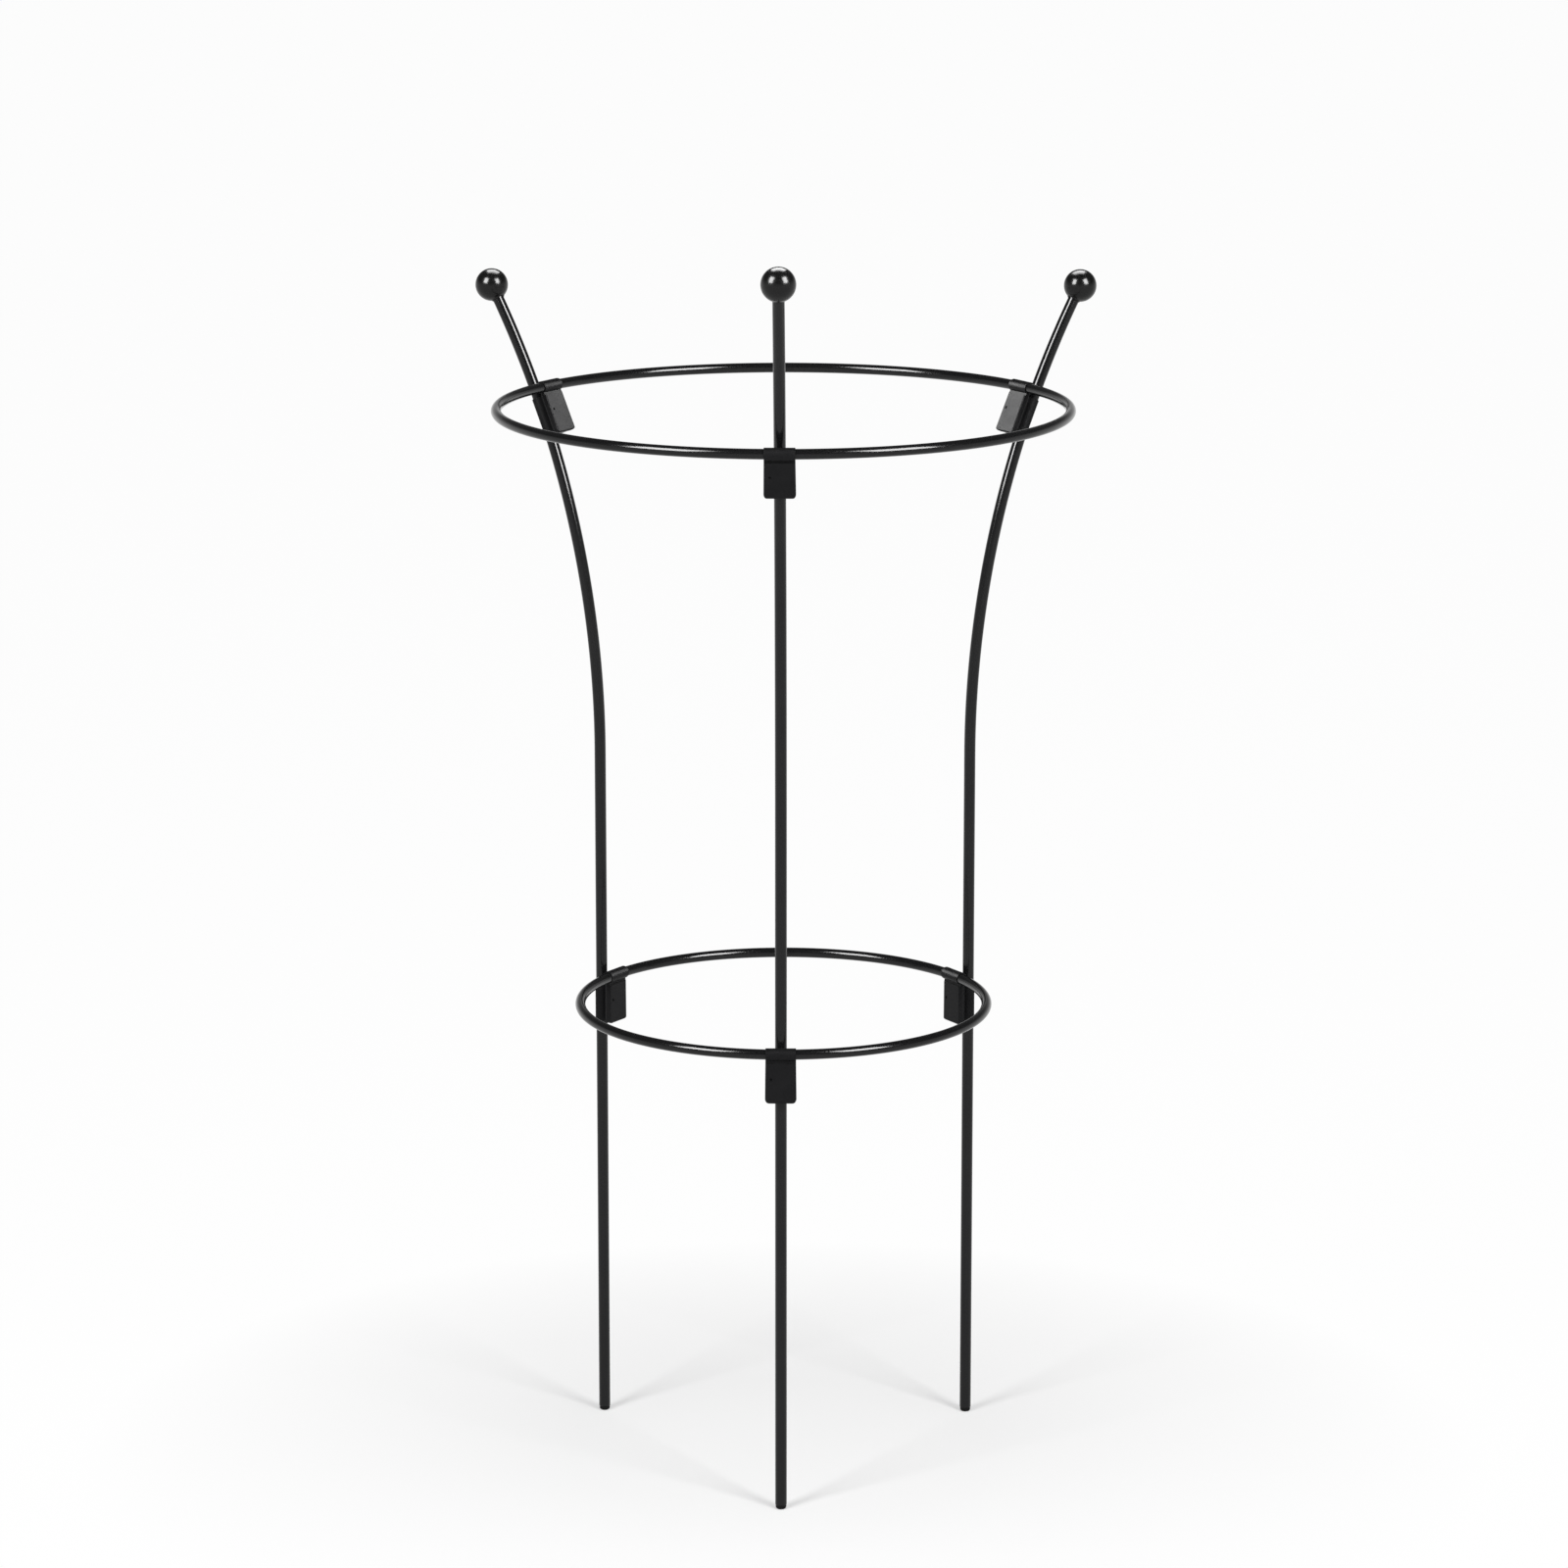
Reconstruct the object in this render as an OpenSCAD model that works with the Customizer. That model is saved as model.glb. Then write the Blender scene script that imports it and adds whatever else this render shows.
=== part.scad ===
// Plant support stake: three bowed tube legs with ball tops, two wire rings and six moulded clips.
// Millimetres, +Z up. The origin is on the ground, on the axis of the lower ring.
// The front leg stands inside the rings and the two rear legs stand outside them.

/* [Legs] */
// Outside diameter of the leg tube
leg_d = 8; // [6:0.5:10]
// Wall of the leg tube
leg_wall = 0.8; // [0.6:0.1:1.2]
// Height at which a leg starts to bow outwards
bow_z = 488; // [450:2:520]
// Radius of the bow, on the axis of the tube
bow_r = 636; // [600:2:800]
// Bearing of the right rear leg from the stand's crosswise line, mirrored for the left one
rear_bearing = 32; // [26:1:42]

/* [Ball finials] */
// Diameter of a ball
ball_d = 23; // [18:0.5:30]
// Height of the rear ball centres above the ground
ball_z = 814; // [800:1:840]
// How much higher the ball of the longer front leg stands
front_rise = 50; // [0:1:60]
// Radial play between a ball's bore and the tube
ball_clear = 0.2; // [0.15:0.05:0.4]
// Wall of a ball's neck where it ends on the tube
neck_wall = 0.4; // [0.3:0.1:1]
// Radius of the hollow curve from the neck to the ball
neck_r = 1; // [0.6:0.2:4]

/* [Foot plugs] */
// Diameter of a plug's head
plug_d = 7.4; // [6:0.1:7.6]
// Height of the head below the end of the tube
plug_h = 3; // [2:0.2:6]
// Rounding of the head's lower edge
plug_edge_r = 1.6; // [0.4:0.2:1.8]
// Length of the stem inside the tube
plug_stem_l = 12; // [6:1:30]
// Radial play between the stem and the tube
plug_clear = 0.05; // [0.02:0.01:0.2]

/* [Rings] */
// Diameter of the ring wire
wire_d = 7; // [5:0.5:8]
// Outside diameter of the lower ring
lower_ring_d = 291; // [250:1:340]
// Height of the lower ring's wire above the ground
lower_ring_z = 327; // [120:1:420]
// Height of the rear ball centres above the upper ring's wire
upper_ring_drop = 68; // [40:1:120]

/* [Clips] */
// Width of a clip's plate at its lower end
clip_w = 21.4; // [18:0.2:30]
// Width of the plate and of the collar at the ring
clip_top_w = 20.6; // [16:0.2:28]
// Length of the plate below the ring's wire axis
clip_drop = 34; // [24:1:44]
// Thickness of the plate
clip_t = 4.2; // [3.2:0.2:6]
// Wall of the sleeve round the leg
clip_wall = 1.2; // [1:0.1:2.2]
// Wall of the collar round the ring
collar_wall = 0.7; // [0.6:0.1:1.6]
// Plastic left between the leg's bore and the ring's bore
clip_web = 4.3; // [1.2:0.1:6]
// Width of the rib that joins the sleeve to the plate
clip_rib_w = 6; // [4:0.5:10]
// Height of the sleeve's top above the ring's wire axis, or below it where negative
clip_rise = -5; // [-8:0.5:8]
// How far the lips of the open sleeve reach behind the axis of the leg
clip_lip = 2; // [0.8:0.1:3]
// Radius of the plate's lower corners
clip_corner_r = 3.6; // [2:0.2:6]
// Rounding of the plate's long edges
clip_edge_r = 1.2; // [0.4:0.1:1.5]
// Radial play between a sleeve and its leg
leg_clear = 0.3; // [0.2:0.05:0.5]
// Radial play between a collar and its ring
ring_clear = 0.12; // [0.05:0.01:0.3]
// Height of the groove across the plate under the collar
groove_h = 1.4; // [0.6:0.1:3]
// Depth of that groove
groove_depth = 0.8; // [0.4:0.1:1.2]
// Diameter of the dimple in the plate's face
dimple_d = 2; // [1:0.1:3]
// Depth of the dimple
dimple_depth = 0.8; // [0.3:0.1:1.5]
// Distance from the dimple's centre to the plate's edge
dimple_inset = 4.2; // [2.8:0.1:6]

/* [Hidden] */
$fn = 96;
// Steps of a full turn in the long bow, and in a ring
bow_fn = 480;
ring_fn = 240;
// Steps round a tube or wire
tube_fn = 48;

// Bearing of each leg round the stand, the side of the leg on which the rings pass, and the height of
// its ball. Side 1 is the outer one (the leg stands inside the rings), -1 the inner one
FRONT = [-90, 1, ball_z + front_rise];
REAR_LEFT = [180 - rear_bearing, -1, ball_z];
REAR_RIGHT = [rear_bearing, -1, ball_z];

leg_r = leg_d / 2;
leg_bore_r = leg_r - leg_wall;
wire_r = wire_d / 2;
sleeve_bore_r = leg_r + leg_clear;
sleeve_r = sleeve_bore_r + clip_wall;
collar_bore_r = wire_r + ring_clear;
collar_r = collar_bore_r + collar_wall;
// Distance between the axis of a leg and the axis of the wire beside it
wire_offset = sleeve_bore_r + clip_web + collar_bore_r;
// A cutter runs this far past the faces that it cuts
past = 1;

lower_ring_r = lower_ring_d / 2 - wire_r;
upper_ring_z = ball_z - upper_ring_drop;

// Distance of a leg's straight part from the axis of the stand
function leg_reach(leg) = lower_ring_r - leg[1] * wire_offset;

// Angle of a leg's bow at the centre of its ball
function bow_angle(leg) = asin((leg[2] - bow_z) / bow_r);

// Radius, about the centre of the bow, at which the wire passes a leg
function wire_bow_r(leg) = bow_r - leg[1] * wire_offset;

// Angle along the bow at which the wire of the upper ring passes a leg
function clip_angle(leg) = asin((upper_ring_z - bow_z) / wire_bow_r(leg));

// Distance of that crossing from the axis of the stand
function wire_reach(leg) = lower_ring_r + wire_bow_r(leg) * (1 - cos(clip_angle(leg)));

// The circle through the three crossings: its centre lies a little in front of the stand's axis
front_reach = wire_reach(FRONT);
rear_reach = wire_reach(REAR_LEFT);
upper_ring_shift = (front_reach^2 - rear_reach^2) / (2 * (front_reach + rear_reach * sin(rear_bearing)));
upper_ring_r = front_reach - upper_ring_shift;

// Children drawn in a leg's own upright plane: X points outwards, Z up, X = 0 on the straight part
module at_leg(leg) {
    rotate([0, 0, leg[0]]) translate([leg_reach(leg), 0, 0]) children();
}

// A 2D section carried along the bow from one angle to another, in the leg's plane
module along_bow(from, to) {
    translate([bow_r, 0, bow_z]) rotate([90, 0, 180]) rotate([0, 0, from])
        rotate_extrude(angle = to - from, $fn = bow_fn) translate([bow_r, 0]) children();
}

// Children moved to a point of the bow and tilted with the tube there
module on_bow(angle) {
    translate([bow_r * (1 - cos(angle)), 0, bow_z + bow_r * sin(angle)])
        rotate([0, angle, 0]) children();
}

// One leg: an upright tube with a rounded lower rim, and the bow that ends at the ball's centre
module leg(leg) {
    rim_z = plug_h + leg_wall / 2;
    color("#141414") at_leg(leg) union() {
        // Half a turn brings the seam of this tube to the seam of the bow
        rotate([0, 0, 180]) rotate_extrude($fn = tube_fn) {
            translate([leg_bore_r, rim_z]) square([leg_wall, bow_z - rim_z]);
            translate([leg_bore_r + leg_wall / 2, rim_z]) circle(d = leg_wall);
        }
        along_bow(0, bow_angle(leg)) difference() {
            circle(r = leg_r, $fn = tube_fn);
            circle(r = leg_bore_r, $fn = tube_fn);
        }
    }
}

// One ball with a short hollow-curved neck and a blind bore that takes the end of the tube
module finial(leg) {
    bore_r = leg_r + ball_clear;
    ball_r = ball_d / 2;
    // The neck's curve touches the ball and the neck's end
    curve_x = bore_r + neck_wall + neck_r;
    curve_z = -sqrt((ball_r + neck_r)^2 - curve_x^2);
    touch = ball_r / (ball_r + neck_r);
    color("#0e0e0e") at_leg(leg) on_bow(bow_angle(leg)) difference() {
        union() {
            sphere(r = ball_r);
            rotate_extrude() difference() {
                polygon([
                    [0, curve_z], [curve_x, curve_z],
                    [curve_x * touch, curve_z * touch], [0, curve_z * touch]
                ]);
                translate([curve_x, curve_z]) circle(r = neck_r);
            }
        }
        translate([0, 0, -ball_d]) cylinder(r = bore_r, h = ball_d + ball_clear);
    }
}

// One plug: a low head with a rounded rim under the tube, and a stem inside it
module foot_plug(leg) {
    color("#161616") at_leg(leg) {
        rotate_extrude() {
            square([plug_d / 2 - plug_edge_r, plug_h]);
            translate([0, plug_edge_r]) square([plug_d / 2, plug_h - plug_edge_r]);
            intersection() {
                translate([plug_d / 2 - plug_edge_r, plug_edge_r]) circle(r = plug_edge_r);
                square([plug_d / 2, plug_h]);
            }
        }
        translate([0, 0, plug_h]) cylinder(r = leg_bore_r - plug_clear, h = plug_stem_l);
    }
}

// The space of a ring, fattened by some play
module ring_space(r, shift, z, play) {
    translate([0, -shift, z]) rotate_extrude($fn = ring_fn)
        translate([r, 0]) circle(r = wire_r + play, $fn = tube_fn);
}

module upper_ring_space(play) {
    ring_space(upper_ring_r, upper_ring_shift, upper_ring_z, play);
}

module lower_ring_space(play) {
    ring_space(lower_ring_r, 0, lower_ring_z, play);
}

// A rectangle from the origin with rounded corners, for profiles
module rounded_rect(size, r) {
    translate([r, 0]) square([size[0] - 2 * r, size[1]]);
    translate([0, r]) square([size[0], size[1] - 2 * r]);
    for (x = [r, size[0] - r], y = [r, size[1] - r]) translate([x, y]) circle(r = r);
}

// The plate of a clip, as the overlap of its outline, its two leaning sides and its side view.
// X points from the leg to the ring, Y along the ring, Z up the leg, and the wire's axis is at Z = 0
module clip_plate() {
    tall = clip_drop + wire_r;
    lean = atan((clip_w - clip_top_w) / 2 / clip_drop);
    intersection() {
        rotate([90, 0, 90]) linear_extrude(2 * wire_offset)
            translate([-clip_w / 2, -clip_drop]) rounded_rect([clip_w, tall], clip_corner_r);
        clip_side(1, lean);
        clip_side(-1, lean);
        translate([wire_offset - clip_t / 2, clip_w, -clip_drop]) rotate([90, 0, 0])
            linear_extrude(2 * clip_w) rounded_rect([clip_t, tall], clip_edge_r);
    }
}

// All that lies on the plate's side of one long edge: the edge is rounded and leans in towards the top
module clip_side(side, lean) {
    translate([wire_offset - clip_t / 2, side * clip_w / 2, -clip_drop]) rotate([side * lean, 0, 0])
        translate([0, side > 0 ? -2 * clip_w : 0, -past]) linear_extrude(2 * clip_drop)
            rounded_rect([clip_t, 2 * clip_w], clip_edge_r);
}

// The plate with its groove and its dimple
module clip_face() {
    face_x = wire_offset + clip_t / 2;
    difference() {
        clip_plate();
        translate([face_x - groove_depth, -clip_w, -collar_r - groove_h])
            cube([groove_depth + past, 2 * clip_w, collar_r + groove_h]);
        translate([face_x - dimple_depth, dimple_inset - clip_w / 2, -clip_drop / 2]) rotate([0, 90, 0])
            cylinder(d = dimple_d, h = dimple_depth + past);
    }
}

// A clip without its bores: a sleeve that is open behind the leg, a rib, the plate and the collar
module clip_blank() {
    sleeve_h = clip_drop + clip_rise;
    difference() {
        translate([0, 0, -clip_drop]) cylinder(r = sleeve_r, h = sleeve_h);
        translate([-sleeve_r - past, -sleeve_r - past, -clip_drop - past])
            cube([sleeve_r + past - clip_lip, 2 * (sleeve_r + past), sleeve_h + 2 * past]);
    }
    translate([0, -clip_rib_w / 2, -clip_drop]) cube([wire_offset, clip_rib_w, sleeve_h]);
    clip_face();
    translate([wire_offset, clip_top_w / 2, 0]) rotate([90, 0, 0])
        cylinder(r = collar_r, h = clip_top_w);
}

// A clip on the upper ring: tilted with the bow, bored along it and for the wire
module upper_clip(leg) {
    angle = clip_angle(leg);
    reach = asin((clip_drop + past) / bow_r);
    color("#1c1c1c") difference() {
        at_leg(leg) difference() {
            on_bow(angle) rotate([0, 0, leg[1] > 0 ? 0 : 180]) clip_blank();
            along_bow(angle - reach, angle + reach) circle(r = sleeve_bore_r, $fn = tube_fn);
        }
        upper_ring_space(ring_clear);
    }
}

// The same clip on the lower ring: upright, with a straight bore
module lower_clip(leg) {
    color("#1c1c1c") difference() {
        at_leg(leg) translate([0, 0, lower_ring_z]) difference() {
            rotate([0, 0, leg[1] > 0 ? 0 : 180]) clip_blank();
            translate([0, 0, -clip_drop - past])
                cylinder(r = sleeve_bore_r, h = clip_drop + clip_rise + 2 * past);
        }
        lower_ring_space(ring_clear);
    }
}

module leg_front() { leg(FRONT); }
module leg_rear_left() { leg(REAR_LEFT); }
module leg_rear_right() { leg(REAR_RIGHT); }
module finial_front() { finial(FRONT); }
module finial_rear_left() { finial(REAR_LEFT); }
module finial_rear_right() { finial(REAR_RIGHT); }
module foot_plug_front() { foot_plug(FRONT); }
module foot_plug_rear_left() { foot_plug(REAR_LEFT); }
module foot_plug_rear_right() { foot_plug(REAR_RIGHT); }
module upper_ring() { color("#141414") upper_ring_space(0); }
module lower_ring() { color("#141414") lower_ring_space(0); }
module upper_clip_front() { upper_clip(FRONT); }
module upper_clip_rear_left() { upper_clip(REAR_LEFT); }
module upper_clip_rear_right() { upper_clip(REAR_RIGHT); }
module lower_clip_front() { lower_clip(FRONT); }
module lower_clip_rear_left() { lower_clip(REAR_LEFT); }
module lower_clip_rear_right() { lower_clip(REAR_RIGHT); }

leg_front();
leg_rear_left();
leg_rear_right();
finial_front();
finial_rear_left();
finial_rear_right();
foot_plug_front();
foot_plug_rear_left();
foot_plug_rear_right();
upper_ring();
lower_ring();
upper_clip_front();
upper_clip_rear_left();
upper_clip_rear_right();
lower_clip_front();
lower_clip_rear_left();
lower_clip_rear_right();
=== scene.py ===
"""Dresses the plant support stake: fine tubes, rings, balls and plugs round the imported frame.

Every length is in metres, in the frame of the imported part: +Z up, the front leg towards -Y.
"""

import math

import bpy
import numpy as np
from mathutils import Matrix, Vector


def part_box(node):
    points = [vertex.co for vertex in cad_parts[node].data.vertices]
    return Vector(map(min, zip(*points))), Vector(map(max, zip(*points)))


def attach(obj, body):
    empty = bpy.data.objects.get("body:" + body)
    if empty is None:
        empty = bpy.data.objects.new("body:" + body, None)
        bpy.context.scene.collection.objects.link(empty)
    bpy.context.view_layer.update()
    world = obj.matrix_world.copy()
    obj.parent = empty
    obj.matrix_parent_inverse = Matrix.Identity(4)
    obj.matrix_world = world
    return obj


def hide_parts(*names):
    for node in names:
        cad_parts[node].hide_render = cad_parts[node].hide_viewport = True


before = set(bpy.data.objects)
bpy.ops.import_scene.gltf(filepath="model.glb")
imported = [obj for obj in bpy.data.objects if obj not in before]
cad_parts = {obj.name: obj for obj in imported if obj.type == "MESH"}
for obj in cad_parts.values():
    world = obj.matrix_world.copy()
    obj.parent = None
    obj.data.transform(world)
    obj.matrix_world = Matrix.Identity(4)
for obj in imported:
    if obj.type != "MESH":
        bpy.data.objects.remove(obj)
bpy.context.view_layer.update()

bl_info = {
    "name": "Plant support stake",
    "version": (1, 0, 0),
    "blender": (4, 5, 0),
    "location": "3D View > Sidebar > Plant stake",
    "description": "Builds a ring stake with bowed legs, ball tops and moulded clips on its frame",
    "category": "Object",
}

# The legs' names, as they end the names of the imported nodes, and the two bodies
SIDES = ("front", "rear_left", "rear_right")
STAND, SLIDER = "stand", "sliding_ring"

# Steps of a tube's surface: round it, along its straight part, along its bow and over its lower rim
TUBE_ROUND, TUBE_STRAIGHT, TUBE_BOW, TUBE_RIM = 56, 24, 72, 12
# Steps of a ring's surface: round the ring and round its wire
RING_AROUND, WIRE_ROUND = 320, 40
# Steps of a ball's surface: round it, down its outline and along its neck's curve
BALL_ROUND, BALL_ARC, NECK_ARC = 72, 48, 10
# Steps of a plug's surface: round it and over its lower edge
PLUG_ROUND, PLUG_ARC = 48, 12
# Faces that meet at more than this angle are shaded with an edge between them
SHARP_ANGLE = math.radians(40)

# The coat's name, and the band that most of a noise texture's values lie in
COAT_NAME = "gloss_powder_coated_steel"
NOISE_LOW, NOISE_HIGH = 0.3, 0.7

# Half the floor's width
FLOOR_REACH = 60.0
# The floor's share of pure white rises between two distances from the stand's axis
SHADE_REACH, WHITE_REACH = 0.15, 0.5
WHITE_NEAR, WHITE_FAR = 0.35, 0.97
# The walls dim from the horizon up to a height angle with this sine, from one level to another
WALL_DIM_SINE = 0.3
WALL_FOOT_LEVEL, WALL_TOP_LEVEL = 0.85, 0.12

# Softboxes: place, the point they face, size across and up, radiance in W/m2/sr and what they light.
# The matt ones light at a plain level; the gloss ones give the burnt-out highlights. The top one gives
# the balls their caps, and the walls give the slanted plates their grey: the thin wires stay dark
SOFTBOXES = {
    "key": ((0.3, -0.4, 3.0), (0.0, 0.0, 0.4), (1.8, 1.8), 1.9, "matt"),
    "side_left": ((-1.55, -1.85, 1.6), (0.0, 0.0, 0.4), (0.8, 0.8), 25.0, "matt"),
    "side_right": ((1.55, -1.85, 1.6), (0.0, 0.0, 0.4), (0.8, 0.8), 25.0, "matt"),
    "top": ((0.0, 1.2, 2.8), (0.0, 0.0, 0.8), (1.9, 1.5), 15.0, "balls"),
    "front_left": ((-1.83, -1.59, 2.3), (0.0, 0.0, 0.8), (1.3, 1.7), 40.0, "gloss"),
    "front_right": ((1.83, -1.59, 2.3), (0.0, 0.0, 0.8), (1.3, 1.7), 40.0, "gloss"),
    "wall_left": ((-2.2, 1.25, 1.5), (0.0, 0.0, 0.75), (1.4, 1.4), 22.0, "clips"),
    "wall_right": ((2.2, 1.25, 1.5), (0.0, 0.0, 0.75), (1.4, 1.4), 14.0, "clips"),
}
# The collection that says which objects each kind of gloss lamp lights
RECEIVERS = {"gloss": "all_but_floor", "balls": "balls", "clips": "clips"}

# The lens, from the fit to the photographed stand: distance, height, side step, bearing and pitch
LENS_MM, LENS_DISTANCE, LENS_HEIGHT, LENS_STEP = 131.36, 3.8773, 1.3357, 0.0004
LENS_BEARING, LENS_PITCH = math.radians(0.7308), math.radians(12.403)
SENSOR_MM = 36.0
LENS_NEAR, LENS_FAR = 0.1, 200.0


def linear(hex_colour):
    """The linear RGB of an sRGB hex colour such as #1c1c1c, by the sRGB curve."""
    parts = [int(hex_colour[i:i + 2], 16) / 255 for i in (1, 3, 5)]
    return tuple(c / 12.92 if c <= 0.04045 else ((c + 0.055) / 1.055) ** 2.4 for c in parts)


def length(name, description, default):
    """A length property in metres."""
    return bpy.props.FloatProperty(
        name=name, description=description, default=default, min=0.0, unit="LENGTH", precision=4)


def colour(name, description, hex_colour):
    """A colour property, written as sRGB hex and kept linear."""
    return bpy.props.FloatVectorProperty(
        name=name, description=description, default=linear(hex_colour), size=3,
        min=0.0, max=1.0, subtype="COLOR")


class StakeSizes(bpy.types.PropertyGroup):
    """The sizes that the dressed pieces are drawn from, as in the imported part."""

    tube_d: length("Tube", "Outside diameter of a leg", 0.008)
    tube_wall: length("Tube wall", "Wall of a leg's tube", 0.0008)
    bow_z: length("Bow start", "Height at which a leg starts to bow outwards", 0.488)
    bow_r: length("Bow radius", "Radius of the bow on the tube's axis", 0.636)
    ball_d: length("Ball", "Diameter of a ball", 0.023)
    ball_clear: length("Ball play", "Radial play between a ball's bore and its tube", 0.0002)
    neck_wall: length("Neck wall", "Wall of a ball's neck where it ends", 0.0004)
    neck_r: length("Neck curve", "Radius of the hollow curve from neck to ball", 0.001)
    plug_d: length("Plug", "Diameter of a foot plug's head", 0.0074)
    plug_h: length("Plug head", "Height of a plug's head below the tube", 0.003)
    plug_edge_r: length("Plug edge", "Rounding of a plug's lower edge", 0.0016)
    plug_stem_l: length("Plug stem", "Length of a plug's stem in the tube", 0.012)
    plug_clear: length("Plug play", "Radial play between stem and tube", 0.00005)
    wire_d: length("Wire", "Diameter of a ring's wire", 0.007)


class StakeFinishes(bpy.types.PropertyGroup):
    """The colours of the stake and its stage."""

    coat: colour("Coat", "Gloss coat of the legs and rings", "#0c0c0d")
    ball: colour("Balls", "Polished balls", "#080808")
    clip: colour("Clips", "Moulded clips", "#121213")
    plug: colour("Plugs", "Foot plugs", "#121212")
    floor: colour("Floor", "Pale studio floor", "#f2f2f2")


def sizes():
    """The sizes as the user has set them."""
    return bpy.context.scene.stake_sizes


def finishes():
    """The colours as the user has set them."""
    return bpy.context.scene.stake_finishes


def add(tree, kind, inputs=None, **settings):
    """Adds a node with its settings; each input is a value, or a socket to link from."""
    made = tree.nodes.new(kind)
    for key, value in settings.items():
        setattr(made, key, value)
    for key, value in (inputs or {}).items():
        if isinstance(value, bpy.types.NodeSocket):
            tree.links.new(value, made.inputs[key])
        else:
            made.inputs[key].default_value = value
    return made


def per_mm(size_mm):
    """Noise scale, on Object coordinates in metres, whose features are about that many mm wide."""
    return 1000.0 / size_mm


def new_material(name):
    """An empty node material and its tree."""
    material = bpy.data.materials.new(name)
    material.use_nodes = True
    material.node_tree.nodes.clear()
    return material, material.node_tree


def shade(value):
    """A linear colour with full alpha for a socket."""
    return (value[0], value[1], value[2], 1.0)


def lighter(value, share):
    """The colour moved towards white by a share."""
    return tuple(c + (1 - c) * share for c in value)


def clouded(tree, place, base, cloud_mm, detail, lift, rough):
    """Sockets of a colour and a roughness that drift slowly over a surface.

    One noise, with features about cloud_mm wide, moves the colour from the base towards white by up to
    the share lift, and the roughness between the two values of rough.
    """
    cloud = add(tree, "ShaderNodeTexNoise", {
        "Vector": place, "Scale": per_mm(cloud_mm), "Detail": detail})
    tone = add(tree, "ShaderNodeMix", {
        "Factor": cloud.outputs["Fac"],
        "A": shade(base), "B": shade(lighter(base, lift))}, data_type="RGBA")
    gloss = add(tree, "ShaderNodeMapRange", {
        "Value": cloud.outputs["Fac"], "From Min": NOISE_LOW, "From Max": NOISE_HIGH,
        "To Min": rough[0], "To Max": rough[1]})
    return tone.outputs["Result"], gloss.outputs["Result"]


def grained(tree, place, grain_mm, strength, depth):
    """Socket of the normal on a skin with bumps about grain_mm wide and a depth in metres."""
    grain = add(tree, "ShaderNodeTexNoise", {"Vector": place, "Scale": per_mm(grain_mm), "Detail": 2.0})
    skin = add(tree, "ShaderNodeBump", {
        "Height": grain.outputs["Fac"], "Strength": strength, "Distance": depth})
    return skin.outputs["Normal"]


def powder_coat():
    """Polyester powder coat on steel tube: sprayed dry and baked, so it is glossy with a faint peel."""
    material, tree = new_material(COAT_NAME)
    place = add(tree, "ShaderNodeTexCoord").outputs["Object"]
    tone, gloss = clouded(
        tree, place, finishes().coat, cloud_mm=24, detail=3.0, lift=0.003, rough=(0.12, 0.15))
    # Real peel is about 1.5 mm across: drawn at 3 mm so that it shows
    peel = grained(tree, place, grain_mm=3, strength=0.05, depth=0.00002)
    surface = add(tree, "ShaderNodeBsdfPrincipled", {
        "Base Color": tone, "Roughness": gloss, "Normal": peel,
        "IOR": 1.5, "Specular IOR Level": 0.23, "Metallic": 0.0})
    add(tree, "ShaderNodeOutputMaterial", {"Surface": surface.outputs["BSDF"]})
    return material


def shared_coat():
    """The one coat of the legs and rings, made when it is first asked for."""
    return bpy.data.materials.get(COAT_NAME) or powder_coat()


def polished_ball():
    """Phenolic knob, moulded and tumbled to a polish: near-black, with bright round highlights."""
    material, tree = new_material("polished_phenolic")
    place = add(tree, "ShaderNodeTexCoord").outputs["Object"]
    tone, gloss = clouded(
        tree, place, finishes().ball, cloud_mm=9, detail=3.0, lift=0.002, rough=(0.18, 0.21))
    surface = add(tree, "ShaderNodeBsdfPrincipled", {
        "Base Color": tone, "Roughness": gloss,
        "IOR": 1.55, "Specular IOR Level": 0.2, "Metallic": 0.0})
    add(tree, "ShaderNodeOutputMaterial", {"Surface": surface.outputs["BSDF"]})
    return material


def moulded(name, base, rough, grain_mm):
    """Plastic from a spark-eroded mould: its fine, even grain scatters light to a satin."""
    material, tree = new_material(name)
    place = add(tree, "ShaderNodeTexCoord").outputs["Object"]
    tone, gloss = clouded(tree, place, base, cloud_mm=12, detail=4.0, lift=0.004, rough=rough)
    # Spark grain is about 0.1 mm: drawn coarser so that it shows
    grain = grained(tree, place, grain_mm, strength=0.5, depth=0.00006)
    surface = add(tree, "ShaderNodeBsdfPrincipled", {
        "Base Color": tone, "Roughness": gloss, "Normal": grain,
        "IOR": 1.5, "Specular IOR Level": 0.04, "Metallic": 0.0})
    add(tree, "ShaderNodeOutputMaterial", {"Surface": surface.outputs["BSDF"]})
    return material


def clip_nylon():
    """Nylon of the clips: charcoal, black seen straight on and grey where a plate slants to the light."""
    return moulded("moulded_nylon", finishes().clip, rough=(0.34, 0.42), grain_mm=0.7)


def plug_polyethylene():
    """Polyethylene of the foot plugs: black and a little duller than the clips, with a coarser grain."""
    return moulded("moulded_polyethylene", finishes().plug, rough=(0.34, 0.44), grain_mm=0.8)


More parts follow.
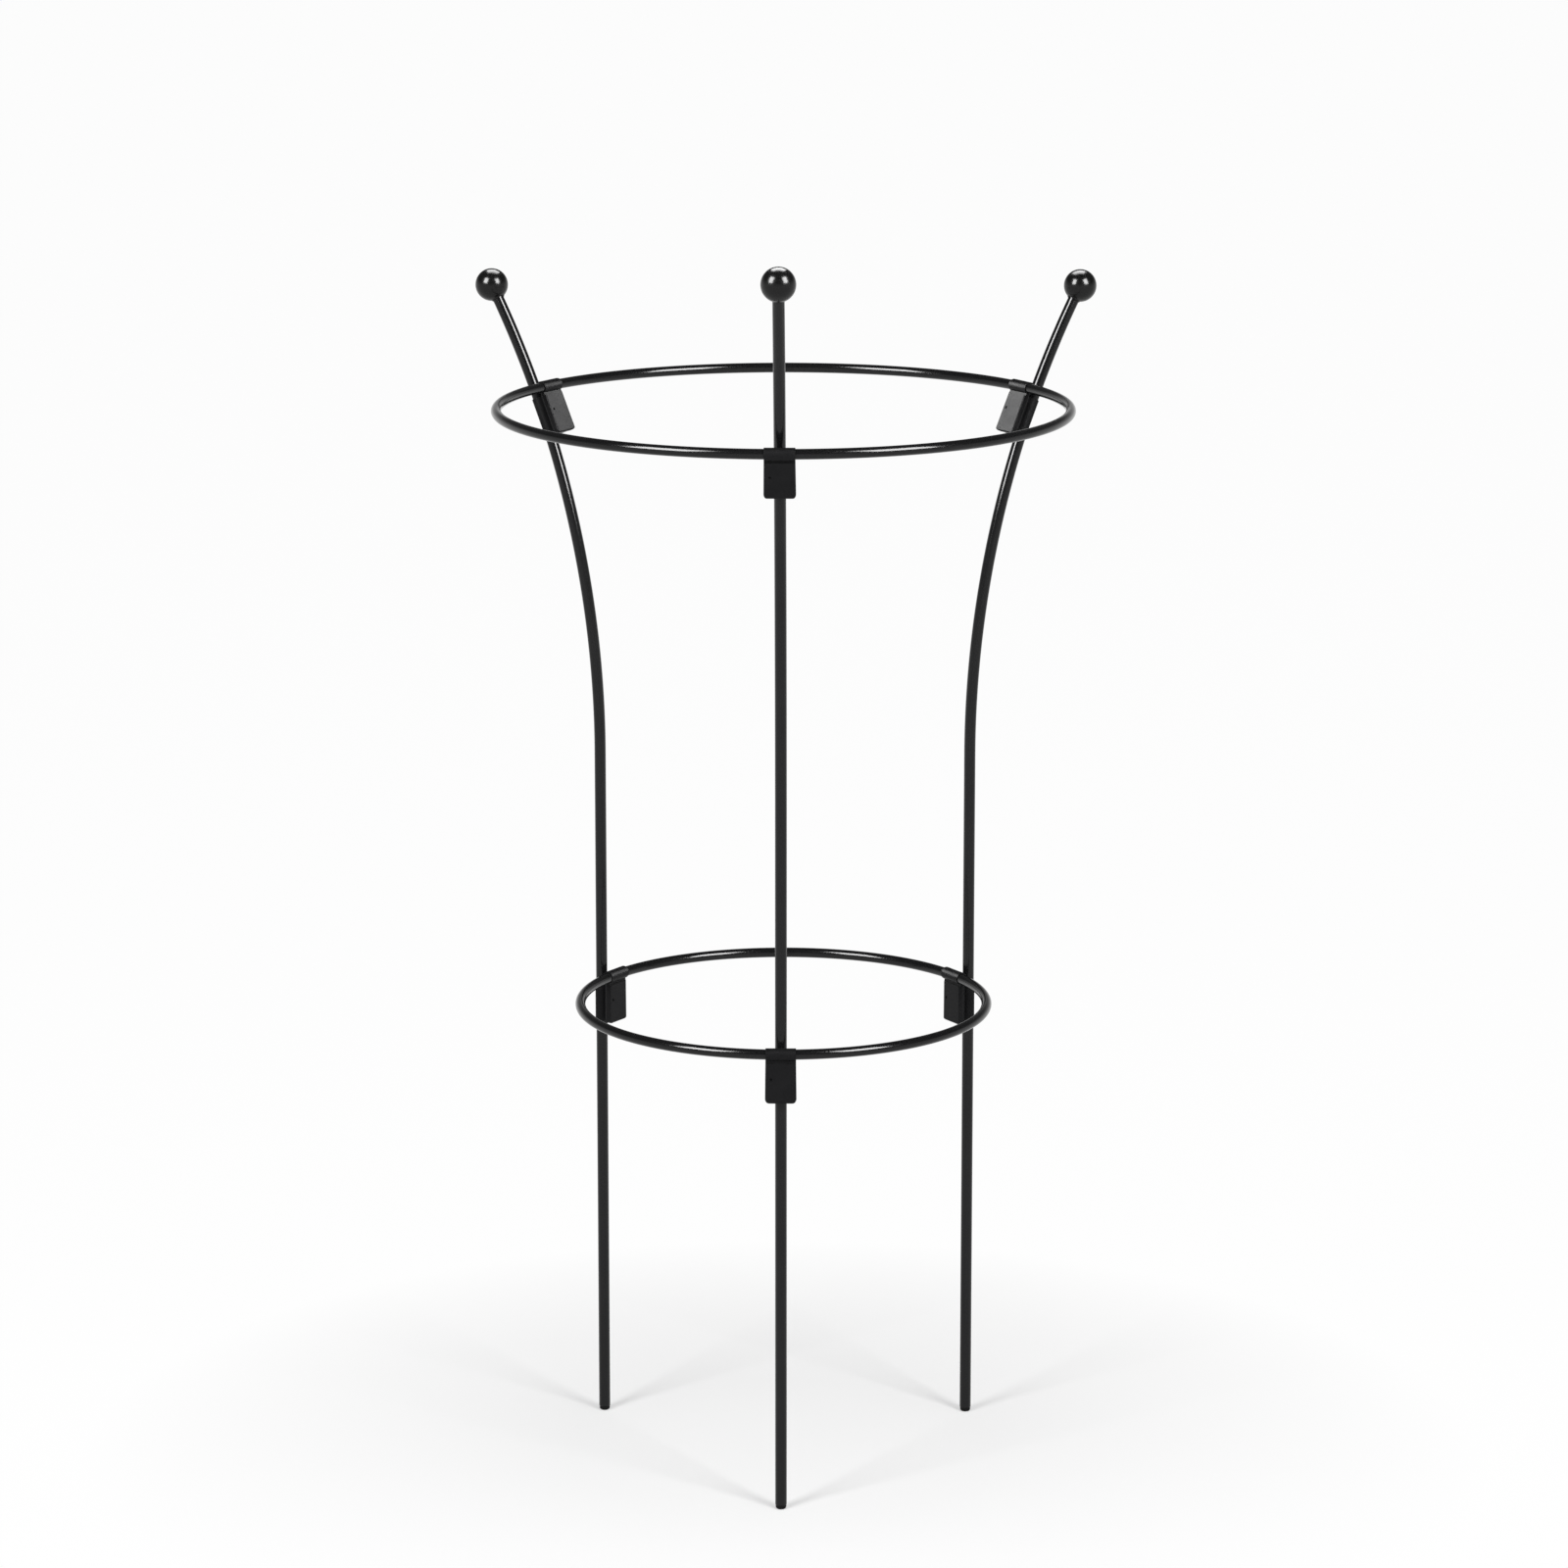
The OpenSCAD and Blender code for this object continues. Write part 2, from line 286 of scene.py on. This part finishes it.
def floor_paper():
    """Matt white background paper: it takes the shadow near the stand, and further off it burns out."""
    material, tree = new_material("matt_white_paper")
    lit = add(tree, "ShaderNodeBsdfDiffuse", {"Color": shade(finishes().floor)})
    glow = add(tree, "ShaderNodeEmission", {"Color": (1.0, 1.0, 1.0, 1.0), "Strength": 1.0})
    # Rays that show the floor, straight or mirrored or through glass, meet the glow; others the lit paper
    path = add(tree, "ShaderNodeLightPath")
    seen = add(tree, "ShaderNodeMath", {
        0: path.outputs["Is Camera Ray"], 1: path.outputs["Is Glossy Ray"]}, operation="MAXIMUM")
    seen = add(tree, "ShaderNodeMath", {
        0: seen.outputs["Value"], 1: path.outputs["Is Transmission Ray"]}, operation="MAXIMUM")
    place = add(tree, "ShaderNodeTexCoord").outputs["Object"]
    away = add(tree, "ShaderNodeVectorMath", {0: place}, operation="LENGTH")
    white = add(tree, "ShaderNodeMapRange", {
        "Value": away.outputs["Value"], "From Min": SHADE_REACH, "From Max": WHITE_REACH,
        "To Min": WHITE_NEAR, "To Max": WHITE_FAR})
    share = add(tree, "ShaderNodeMath", {
        0: seen.outputs["Value"], 1: white.outputs["Result"]}, operation="MULTIPLY")
    mixed = add(tree, "ShaderNodeMixShader", {
        0: share.outputs["Value"], 1: lit.outputs["BSDF"], 2: glow.outputs["Emission"]})
    add(tree, "ShaderNodeOutputMaterial", {"Surface": mixed.outputs["Shader"]})
    return material


def studio_walls():
    """A pale wall all round, bright at the floor and dim higher up and overhead."""
    world = bpy.data.worlds.new("studio_walls")
    world.use_nodes = True
    tree = world.node_tree
    tree.nodes.clear()
    way = add(tree, "ShaderNodeTexCoord").outputs["Generated"]
    rise = add(tree, "ShaderNodeSeparateXYZ", {"Vector": way}).outputs["Z"]
    level = add(tree, "ShaderNodeMapRange", {
        "Value": rise, "From Min": 0.0, "From Max": WALL_DIM_SINE,
        "To Min": WALL_FOOT_LEVEL, "To Max": WALL_TOP_LEVEL})
    walls = add(tree, "ShaderNodeBackground", {
        "Color": (1.0, 1.0, 1.0, 1.0), "Strength": level.outputs["Result"]})
    add(tree, "ShaderNodeOutputWorld", {"Surface": walls.outputs["Background"]})
    return world


def mesh_object(name, points, faces, material):
    """A smooth mesh from an (N, 3) array and a list of (M, 3) or (M, 4) index arrays."""
    mesh = bpy.data.meshes.new(name)
    corners = np.concatenate([f.ravel() for f in faces]).astype(np.int32)
    totals = np.concatenate([np.full(len(f), f.shape[1]) for f in faces]).astype(np.int32)
    starts = np.concatenate([[0], np.cumsum(totals)[:-1]]).astype(np.int32)
    mesh.vertices.add(len(points))
    mesh.vertices.foreach_set("co", np.asarray(points, np.float32).ravel())
    mesh.loops.add(len(corners))
    mesh.loops.foreach_set("vertex_index", corners)
    mesh.polygons.add(len(totals))
    mesh.polygons.foreach_set("loop_start", starts)
    mesh.polygons.foreach_set("loop_total", totals)
    mesh.polygons.foreach_set("use_smooth", np.ones(len(totals), bool))
    mesh.update(calc_edges=True)
    if mesh.validate():
        raise RuntimeError(f"{name}: the mesh has faulty faces")
    mesh.set_sharp_from_angle(angle=SHARP_ANGLE)
    mesh.materials.append(material)
    made = bpy.data.objects.new(name, mesh)
    bpy.context.scene.collection.objects.link(made)
    return made


def wrapped_quads(rows, columns):
    """Quads of a grid that closes on itself along both parameters, as on a ring."""
    index = np.arange(rows * columns).reshape(rows, columns)
    right, up = np.roll(index, -1, axis=1), np.roll(index, -1, axis=0)
    return np.stack([index, right, np.roll(right, -1, axis=0), up], axis=-1).reshape(-1, 4)


def revolved(profile, columns):
    """Points and faces of an (r, z) profile turned about Z; both its ends lie on the axis.

    A point is (r cos a, r sin a, z); the two ends are single vertices with fans round them.
    """
    turn = np.linspace(0, 2 * np.pi, columns, endpoint=False)
    inner = profile[1:-1]
    rings = np.stack([
        inner[:, :1] * np.cos(turn), inner[:, :1] * np.sin(turn),
        np.repeat(inner[:, 1:], columns, axis=1)], axis=-1).reshape(-1, 3)
    poles = np.array([[0, 0, profile[0, 1]], [0, 0, profile[-1, 1]]])
    index = np.arange(len(rings)).reshape(-1, columns)
    right = np.roll(index, -1, axis=1)
    quads = np.stack([index[:-1], right[:-1], right[1:], index[1:]], axis=-1).reshape(-1, 4)
    first, last = len(rings), len(rings) + 1
    fan_a = np.stack([np.full(columns, first), right[0], index[0]], axis=-1)
    fan_b = np.stack([np.full(columns, last), index[-1], right[-1]], axis=-1)
    return np.vstack([rings, poles]), [quads, fan_a, fan_b]


def arc(centre, r, start, end, count):
    """Points (x, y) on a circle's arc from one angle to another, in radians."""
    t = np.linspace(start, end, count)
    return np.stack([centre[0] + r * np.cos(t), centre[1] + r * np.sin(t)], axis=-1)


def leg_place(side):
    """Bearing of a leg and the distance of its foot from the stand's axis, from its plug's box."""
    low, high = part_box("foot_plug_" + side)
    middle = (low + high) / 2
    return math.atan2(middle.y, middle.x), math.hypot(middle.x, middle.y)


def turned(points, side):
    """Points drawn in a leg's own plane (X outwards from its straight part), moved to its place."""
    bearing, reach = leg_place(side)
    x = points[..., 0] + reach
    y = points[..., 1]
    return np.stack([
        x * math.cos(bearing) - y * math.sin(bearing),
        x * math.sin(bearing) + y * math.cos(bearing), points[..., 2]], axis=-1)


def bow_angle(side):
    """Angle of a leg's bow at the centre of its ball, which lies a ball's radius below its top."""
    s = sizes()
    ball_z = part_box("finial_" + side)[1].z - s.ball_d / 2
    return math.asin((ball_z - s.bow_z) / s.bow_r)


def along_leg(distance):
    """Axis point (x, z) and tilt of a leg at distances along it.

    Below the bow it is (0, d) upright; on the bow, with t = (d - bow_z) / bow_r, it is
    (bow_r (1 - cos t), bow_z + bow_r sin t) tilted by t.
    """
    s = sizes()
    tilt = np.clip((distance - s.bow_z) / s.bow_r, 0, None)
    x = s.bow_r * (1 - np.cos(tilt))
    z = np.minimum(distance, s.bow_z) + s.bow_r * np.sin(tilt)
    return x, z, tilt


def leg_points(side):
    """The wall of a tube as a closed surface: its wall profile (distance, radius) carried round.

    The profile runs up the outside, across the top, down the bore and round the lower rim. A point
    is axis(d) + r (cos a n(d), sin a y), where n is the outward normal in the leg's plane.
    """
    s = sizes()
    outer, half_wall = s.tube_d / 2, s.tube_wall / 2
    rim = s.plug_h + half_wall
    top = s.bow_z + s.bow_r * bow_angle(side)
    straight = np.linspace(rim, s.bow_z, TUBE_STRAIGHT)
    bow = np.linspace(s.bow_z, top, TUBE_BOW)[1:]
    up = np.concatenate([straight, bow])
    wall = np.stack([up, np.full(len(up), outer)], axis=-1)
    bore = np.stack([up[::-1], np.full(len(up), outer - s.tube_wall)], axis=-1)
    lip = arc((rim, outer - half_wall), half_wall, -np.pi / 2, -3 * np.pi / 2, TUBE_RIM)[1:-1]
    profile = np.concatenate([wall, bore, lip])
    turn = np.linspace(0, 2 * np.pi, TUBE_ROUND, endpoint=False)
    x, z, tilt = (v[:, None] for v in along_leg(profile[:, 0]))
    r = profile[:, 1:]
    grid = np.stack([
        x + r * np.cos(turn) * np.cos(tilt), r * np.sin(turn) + 0 * x,
        z - r * np.cos(turn) * np.sin(tilt)], axis=-1)
    return turned(grid.reshape(-1, 3), side), [wrapped_quads(len(profile), TUBE_ROUND)]


def ring_points(node):
    """A ring's wire: a circle of the wire's radius carried round the ring's axis.

    A point is centre + ((R + r cos b) cos a, (R + r cos b) sin a, r sin b). The wire's radius r is a set
    size, and the ring's radius R and its centre are read from its box.
    """
    low, high = (np.array(corner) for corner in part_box(node))
    r = sizes().wire_d / 2
    centre, radius = (low + high) / 2, (high[0] - low[0]) / 2 - r
    a = np.linspace(0, 2 * np.pi, RING_AROUND, endpoint=False)[:, None]
    b = np.linspace(0, 2 * np.pi, WIRE_ROUND, endpoint=False)[None, :]
    grid = np.stack([
        (radius + r * np.cos(b)) * np.cos(a), (radius + r * np.cos(b)) * np.sin(a),
        r * np.sin(b) + 0 * a], axis=-1)
    return centre + grid.reshape(-1, 3), [wrapped_quads(RING_AROUND, WIRE_ROUND)[:, ::-1]]


def ball_profile():
    """(r, z) of a ball from its top to the end of its bore: ball, hollow neck curve, neck end, bore."""
    s = sizes()
    ball_r, bore_r = s.ball_d / 2, s.tube_d / 2 + s.ball_clear
    curve = np.array([bore_r + s.neck_wall + s.neck_r, 0.0])
    curve[1] = -math.sqrt((ball_r + s.neck_r) ** 2 - curve[0] ** 2)
    touch = math.atan2(curve[1], curve[0])
    ball = arc((0, 0), ball_r, np.pi / 2, touch, BALL_ARC)
    neck = arc(curve, s.neck_r, touch + np.pi, np.pi, NECK_ARC)[1:]
    end = [[bore_r, curve[1]], [bore_r, s.ball_clear], [0, s.ball_clear]]
    return np.concatenate([ball, neck, end])


def ball_points(side):
    """A ball on the end of the bow: its profile turned about the tube's axis and tilted with it."""
    points, faces = revolved(ball_profile(), BALL_ROUND)
    s = sizes()
    tilt = bow_angle(side)
    upright, lean = math.cos(tilt), math.sin(tilt)
    centre = np.array([s.bow_r * (1 - upright), 0, s.bow_z + s.bow_r * lean])
    tip = np.array([[upright, 0, -lean], [0, 1, 0], [lean, 0, upright]])
    return turned(centre + points @ tip, side), [f[:, ::-1] for f in faces]


def plug_points(side):
    """A foot plug: its (r, z) profile from the stem's top down to the sole, turned about Z."""
    s = sizes()
    stem_r, head_r, edge = s.tube_d / 2 - s.tube_wall - s.plug_clear, s.plug_d / 2, s.plug_edge_r
    top = s.plug_h + s.plug_stem_l
    profile = np.concatenate([
        [[0, top], [stem_r, top], [stem_r, s.plug_h], [head_r, s.plug_h]],
        arc((head_r - edge, edge), edge, 0, -np.pi / 2, PLUG_ARC), [[0, 0]]])
    points, faces = revolved(profile, PLUG_ROUND)
    return turned(points, side), [f[:, ::-1] for f in faces]


def dress(name, node, body, slot, points, faces, material):
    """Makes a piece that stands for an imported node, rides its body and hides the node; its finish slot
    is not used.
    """
    made = mesh_object(name, points, faces, material)
    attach(made, body)
    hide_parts(node)
    return made


class BuildLegs(bpy.types.Operator):
    """Sweeps the three coated tubes"""

    bl_idname = "plant_stake.build_legs"
    bl_label = "Legs"

    def execute(self, context):
        material = shared_coat()
        for side in SIDES:
            dress(f"tube_leg_{side}", f"leg_{side}", STAND, "black_coat", *leg_points(side), material)
        return {"FINISHED"}


class BuildRings(bpy.types.Operator):
    """Sweeps the two wire rings"""

    bl_idname = "plant_stake.build_rings"
    bl_label = "Rings"

    def execute(self, context):
        material = shared_coat()
        for node, body in (("upper_ring", STAND), ("lower_ring", SLIDER)):
            dress("wire_" + node, node, body, "black_coat", *ring_points(node), material)
        return {"FINISHED"}


class BuildBalls(bpy.types.Operator):
    """Turns the three polished balls"""

    bl_idname = "plant_stake.build_balls"
    bl_label = "Balls"

    def execute(self, context):
        material = polished_ball()
        balls = bpy.data.collections.new(RECEIVERS["balls"])
        for side in SIDES:
            balls.objects.link(dress(
                f"ball_{side}", f"finial_{side}", STAND, "black_ball", *ball_points(side), material))
        return {"FINISHED"}


class BuildPlugs(bpy.types.Operator):
    """Turns the three foot plugs"""

    bl_idname = "plant_stake.build_plugs"
    bl_label = "Foot plugs"

    def execute(self, context):
        material = plug_polyethylene()
        for side in SIDES:
            dress(f"plug_{side}", f"foot_plug_{side}", STAND, "black_plug", *plug_points(side), material)
        return {"FINISHED"}


class FinishClips(bpy.types.Operator):
    """Gives the six imported clips their moulded finish"""

    bl_idname = "plant_stake.finish_clips"
    bl_label = "Clips"

    def execute(self, context):
        material = clip_nylon()
        clips = bpy.data.collections.new(RECEIVERS["clips"])
        for level in ("upper", "lower"):
            for side in SIDES:
                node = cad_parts[f"{level}_clip_{side}"]
                clips.objects.link(node)
                node.data.materials.clear()
                node.data.materials.append(material)
        return {"FINISHED"}


def lay_floor():
    """A wide square of paper at the feet, left out of what the gloss lamps light."""
    corners = FLOOR_REACH * np.array([[-1, -1, 0], [1, -1, 0], [1, 1, 0], [-1, 1, 0]])
    floor = mesh_object("studio_floor", corners, [np.array([[0, 1, 2, 3]])], floor_paper())
    all_but_floor = bpy.data.collections.new(RECEIVERS["gloss"])
    all_but_floor.objects.link(floor)
    all_but_floor.collection_objects[0].light_linking.link_state = "EXCLUDE"


def hang_softbox(scene, name, place, aim, size, radiance, lights):
    """A flat lamp, hidden from the lens, that lights the matt surfaces or the gloss of some pieces."""
    lamp = bpy.data.lights.new("softbox_" + name, "AREA")
    lamp.shape = "RECTANGLE"
    lamp.size, lamp.size_y = size
    # A flat lamp's radiance is its power over pi times its area
    lamp.energy = radiance * math.pi * size[0] * size[1]
    box = bpy.data.objects.new(lamp.name, lamp)
    box.location = place
    box.rotation_euler = (Vector(aim) - Vector(place)).to_track_quat("-Z", "Y").to_euler()
    box.visible_camera = False
    box.visible_diffuse = lights == "matt"
    box.visible_glossy = lights != "matt"
    if lights in RECEIVERS:
        box.light_linking.receiver_collection = bpy.data.collections[RECEIVERS[lights]]
    scene.collection.objects.link(box)


def aim_camera(scene):
    """The camera: in front of the stand by the lens distance, turned by its bearing and tipped down."""
    lens = bpy.data.cameras.new("studio_camera")
    lens.lens, lens.sensor_width = LENS_MM, SENSOR_MM
    lens.clip_start, lens.clip_end = LENS_NEAR, LENS_FAR
    camera = bpy.data.objects.new(lens.name, lens)
    camera.location = (
        math.sin(LENS_BEARING) * LENS_DISTANCE + math.cos(LENS_BEARING) * LENS_STEP,
        -math.cos(LENS_BEARING) * LENS_DISTANCE + math.sin(LENS_BEARING) * LENS_STEP, LENS_HEIGHT)
    camera.rotation_euler = (math.pi / 2 - LENS_PITCH, 0.0, LENS_BEARING)
    scene.collection.objects.link(camera)
    scene.camera = camera


class BuildStage(bpy.types.Operator):
    """Lays the pale floor and sets the softboxes, the dim room and the camera"""

    bl_idname = "plant_stake.build_stage"
    bl_label = "Stage"

    def execute(self, context):
        scene = context.scene
        lay_floor()
        for name, softbox in SOFTBOXES.items():
            hang_softbox(scene, name, *softbox)
        scene.world = studio_walls()
        scene.view_settings.view_transform = "Standard"
        aim_camera(scene)
        return {"FINISHED"}


class StakePanel(bpy.types.Panel):
    """Lists the steps that dress the stake"""

    bl_idname = "VIEW3D_PT_plant_stake"
    bl_label = "Plant stake"
    bl_space_type = "VIEW_3D"
    bl_region_type = "UI"
    bl_category = "Plant stake"

    def draw(self, context):
        column = self.layout.column()
        for step in STEPS:
            column.operator(step.bl_idname)
        for group in (context.scene.stake_sizes, context.scene.stake_finishes):
            for name in group.bl_rna.properties.keys():
                if name not in ("rna_type", "name"):
                    column.prop(group, name)


STEPS = (BuildLegs, BuildRings, BuildBalls, BuildPlugs, FinishClips, BuildStage)
CLASSES = (StakeSizes, StakeFinishes, *STEPS, StakePanel)


def register():
    """Registers the classes and hangs the two property groups on the scene."""
    for cls in CLASSES:
        bpy.utils.register_class(cls)
    bpy.types.Scene.stake_sizes = bpy.props.PointerProperty(type=StakeSizes)
    bpy.types.Scene.stake_finishes = bpy.props.PointerProperty(type=StakeFinishes)


def unregister():
    """Takes the property groups and the classes away again."""
    del bpy.types.Scene.stake_finishes
    del bpy.types.Scene.stake_sizes
    for cls in reversed(CLASSES):
        bpy.utils.unregister_class(cls)


def main():
    """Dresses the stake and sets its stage."""
    register()
    bpy.ops.plant_stake.build_legs()
    bpy.ops.plant_stake.build_rings()
    bpy.ops.plant_stake.build_balls()
    bpy.ops.plant_stake.build_plugs()
    bpy.ops.plant_stake.finish_clips()
    bpy.ops.plant_stake.build_stage()


if __name__ == "__main__":
    main()
